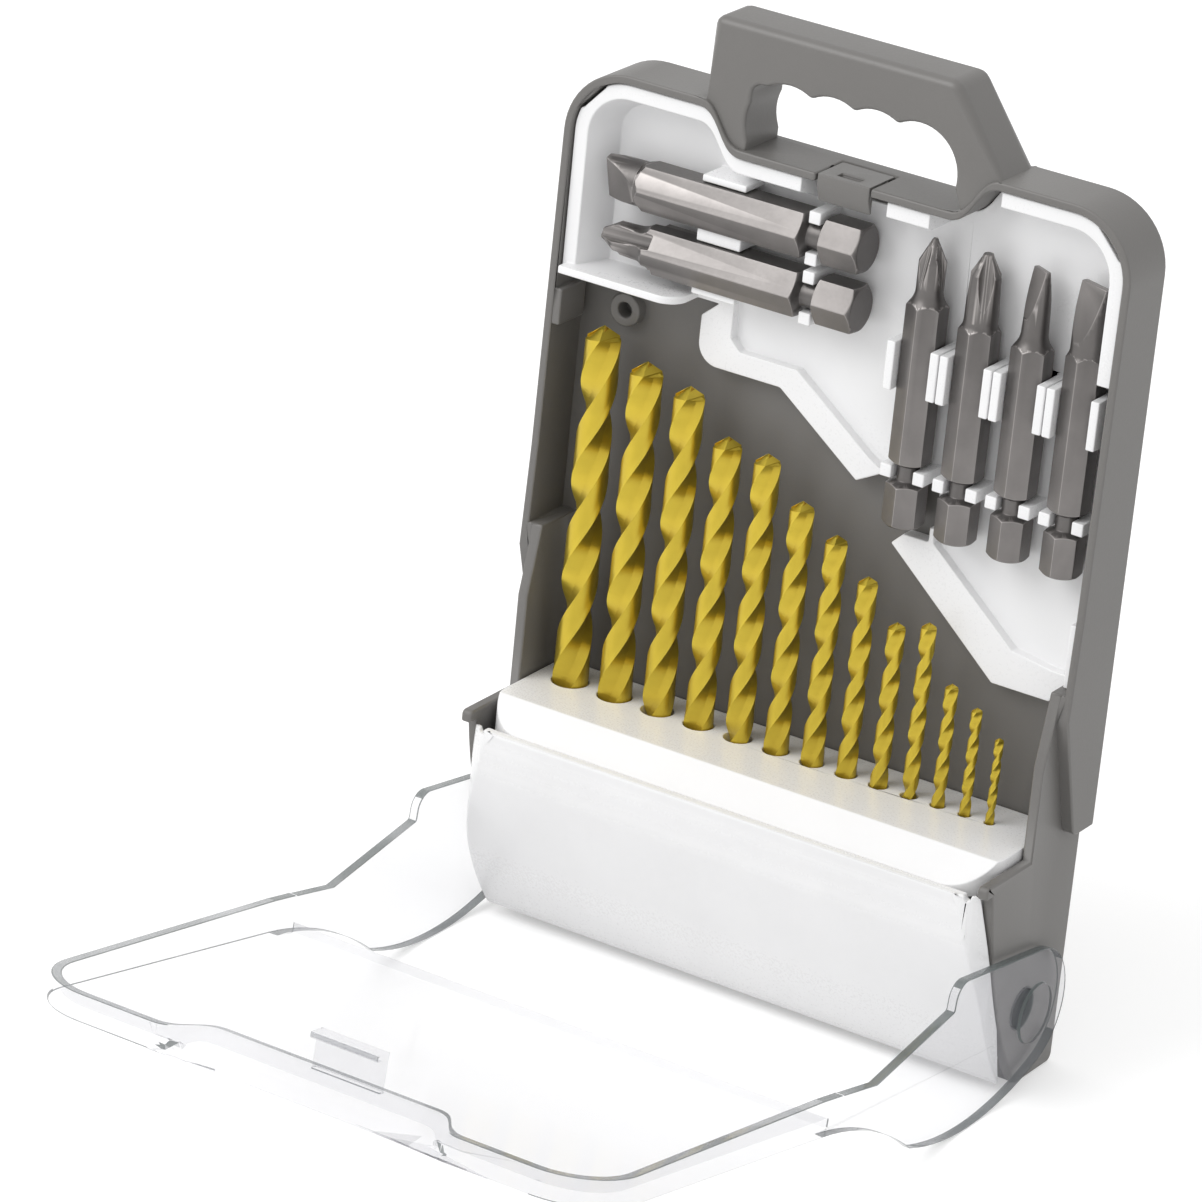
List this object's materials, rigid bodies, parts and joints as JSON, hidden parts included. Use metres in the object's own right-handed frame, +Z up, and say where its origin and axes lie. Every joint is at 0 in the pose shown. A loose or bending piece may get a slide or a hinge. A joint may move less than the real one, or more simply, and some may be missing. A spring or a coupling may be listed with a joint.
{
  "type": "drill bit case",
  "caption": "Upright tool case with carry handle, clear swing-down lid, tipping drill holder and a tray of driver bits.",
  "frame": {"origin": "middle of the case's flat foot, on the floor", "axes": "+Z up, +X across the case to the viewer's right when facing its open front, -Y out of the open front; the lid is stored swung down to the front"},
  "size_m": [0.1104, 0.1535, 0.1698],
  "materials": {
    "grey_plastic": "satin",
    "white_plastic": "satin",
    "clear_plastic": "clear",
    "gold_steel": "polished",
    "dark_steel": "satin"
  },
  "bodies": {
    "shell": {"back_shell": "grey_plastic", "bit_tray": "white_plastic"},
    "latch": {"latch_rocker": "grey_plastic"},
    "lid": {"lid": "clear_plastic"},
    "holder": {"drill_block": "white_plastic", "front_cover": "white_plastic"},
    "drill_01": {"drill_01": "gold_steel"},
    "drill_02": {"drill_02": "gold_steel"},
    "drill_03": {"drill_03": "gold_steel"},
    "drill_04": {"drill_04": "gold_steel"},
    "drill_05": {"drill_05": "gold_steel"},
    "drill_06": {"drill_06": "gold_steel"},
    "drill_07": {"drill_07": "gold_steel"},
    "drill_08": {"drill_08": "gold_steel"},
    "drill_09": {"drill_09": "gold_steel"},
    "drill_10": {"drill_10": "gold_steel"},
    "drill_11": {"drill_11": "gold_steel"},
    "drill_12": {"drill_12": "gold_steel"},
    "drill_13": {"drill_13": "gold_steel"},
    "bit_1_cross_small": {"bit_1_cross_small": "dark_steel"},
    "bit_2_cross": {"bit_2_cross": "dark_steel"},
    "bit_3_slot_small": {"bit_3_slot_small": "dark_steel"},
    "bit_4_slot": {"bit_4_slot": "dark_steel"},
    "bit_5_cross_wide": {"bit_5_cross_wide": "dark_steel"},
    "bit_6_slot_wide": {"bit_6_slot_wide": "dark_steel"}
  },
  "joints": [
    {"name": "lid_hinge", "type": "hinge", "parent": "shell", "child": "lid", "pos_m": [0, -0.0067, 0.0147], "axis": [-1, 0, 0], "range_deg": [0, 82]},
    {"name": "holder_tip", "type": "hinge", "parent": "shell", "child": "holder", "pos_m": [0, -0.0067, 0.0147], "axis": [-1, 0, 0], "range_deg": [-12, 0]},
    {"name": "latch_press", "type": "hinge", "parent": "shell", "child": "latch", "pos_m": [0, 0, 0.1471], "axis": [-1, 0, 0], "range_deg": [0, 22], "stiffness_Nm_per_rad": 0.002},
    {"name": "drill_01_lift", "type": "slide", "parent": "holder", "child": "drill_01", "axis": [0, 0, -1], "range_m": [-0.0072, 0]},
    {"name": "drill_02_lift", "type": "slide", "parent": "holder", "child": "drill_02", "axis": [0, 0, -1], "range_m": [-0.0112, 0]},
    {"name": "drill_03_lift", "type": "slide", "parent": "holder", "child": "drill_03", "axis": [0, 0, -1], "range_m": [-0.0144, 0]},
    {"name": "drill_04_lift", "type": "slide", "parent": "holder", "child": "drill_04", "axis": [0, 0, -1], "range_m": [-0.023, 0]},
    {"name": "drill_05_lift", "type": "slide", "parent": "holder", "child": "drill_05", "axis": [0, 0, -1], "range_m": [-0.0238, 0]},
    {"name": "drill_06_lift", "type": "slide", "parent": "holder", "child": "drill_06", "axis": [0, 0, -1], "range_m": [-0.0302, 0]},
    {"name": "drill_07_lift", "type": "slide", "parent": "holder", "child": "drill_07", "axis": [0, 0, -1], "range_m": [-0.0342, 0]},
    {"name": "drill_08_lift", "type": "slide", "parent": "holder", "child": "drill_08", "axis": [0, 0, -1], "range_m": [-0.0092, 0]},
    {"name": "drill_09_lift", "type": "slide", "parent": "holder", "child": "drill_09", "axis": [0, 0, -1], "range_m": [-0.0156, 0]},
    {"name": "drill_10_lift", "type": "slide", "parent": "holder", "child": "drill_10", "axis": [0, 0, -1], "range_m": [-0.0138, 0]},
    {"name": "drill_11_lift", "type": "slide", "parent": "holder", "child": "drill_11", "axis": [0, 0, -1], "range_m": [-0.0232, 0]},
    {"name": "drill_12_lift", "type": "slide", "parent": "holder", "child": "drill_12", "axis": [0, 0, -1], "range_m": [-0.026, 0]},
    {"name": "drill_13_lift", "type": "slide", "parent": "holder", "child": "drill_13", "axis": [0, 0, -1], "range_m": [-0.03, 0]},
    {"name": "bit_1_cross_small_out", "type": "slide", "parent": "shell", "child": "bit_1_cross_small", "axis": [0, 1, 0], "range_m": [-0.012, 0]},
    {"name": "bit_2_cross_out", "type": "slide", "parent": "shell", "child": "bit_2_cross", "axis": [0, 1, 0], "range_m": [-0.012, 0]},
    {"name": "bit_3_slot_small_out", "type": "slide", "parent": "shell", "child": "bit_3_slot_small", "axis": [0, 1, 0], "range_m": [-0.012, 0]},
    {"name": "bit_4_slot_out", "type": "slide", "parent": "shell", "child": "bit_4_slot", "axis": [0, 1, 0], "range_m": [-0.012, 0]},
    {"name": "bit_5_cross_wide_out", "type": "slide", "parent": "shell", "child": "bit_5_cross_wide", "axis": [0, 1, 0], "range_m": [-0.012, 0]},
    {"name": "bit_6_slot_wide_out", "type": "slide", "parent": "shell", "child": "bit_6_slot_wide", "axis": [0, 1, 0], "range_m": [-0.012, 0]}
  ]
}
